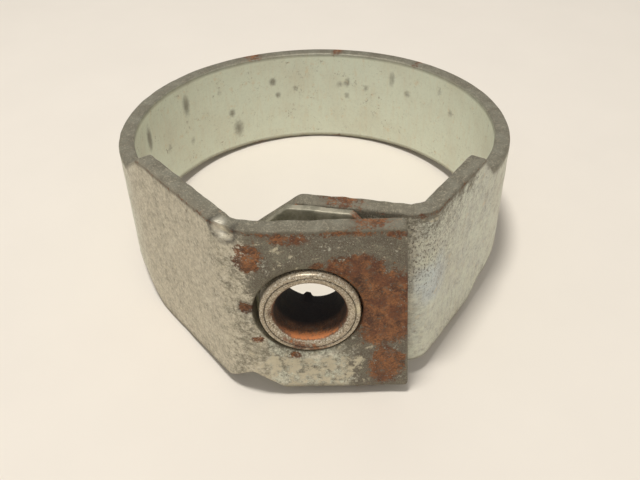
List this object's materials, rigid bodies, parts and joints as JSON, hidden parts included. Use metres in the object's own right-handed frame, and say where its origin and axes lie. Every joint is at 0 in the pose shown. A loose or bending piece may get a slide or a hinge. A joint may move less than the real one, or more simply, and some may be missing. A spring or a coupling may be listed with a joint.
{
  "type": "hose clamp",
  "caption": "Bent steel band clamp for a hose or pipe: a wide flat strip closed into a ring, with two overlapping end tabs pierced by a plain steel collar for the tightening bolt.",
  "frame": {"origin": "centre of the ring, on its axis and at the middle of its width", "axes": "+Z along the hose that the clamp grips, -Y towards the two tabs and the collar, +X towards the arm that carries the inner tab"},
  "size_m": [0.052, 0.057, 0.0226],
  "materials": {
    "zinc_strip": "aged zinc plating, satin, speckled, with rust on the outer tab",
    "bare_steel": "dulled steel, lightly rusted"
  },
  "bodies": {
    "collar_side": {"band_inner_end": "zinc_strip", "backing_plate": "bare_steel", "collar": "bare_steel"},
    "back": {"band_back_arc": "zinc_strip"},
    "tab_side": {"band_outer_end": "zinc_strip"}
  },
  "joints": [
    {"name": "band_flex_left", "type": "hinge", "parent": "back", "child": "tab_side", "pos_m": [-0.025, 0, 0], "axis": [0, 0, -1], "range_deg": [0, 12], "stiffness_Nm_per_rad": 2},
    {"name": "band_flex_back", "type": "hinge", "parent": "collar_side", "child": "back", "pos_m": [0, 0.025, 0], "axis": [0, 0, 1], "range_deg": [0, 6.6]}
  ],
  "couplings": [
    {"joint": "band_flex_back", "follows": "band_flex_left", "ratio": 0.55}
  ]
}
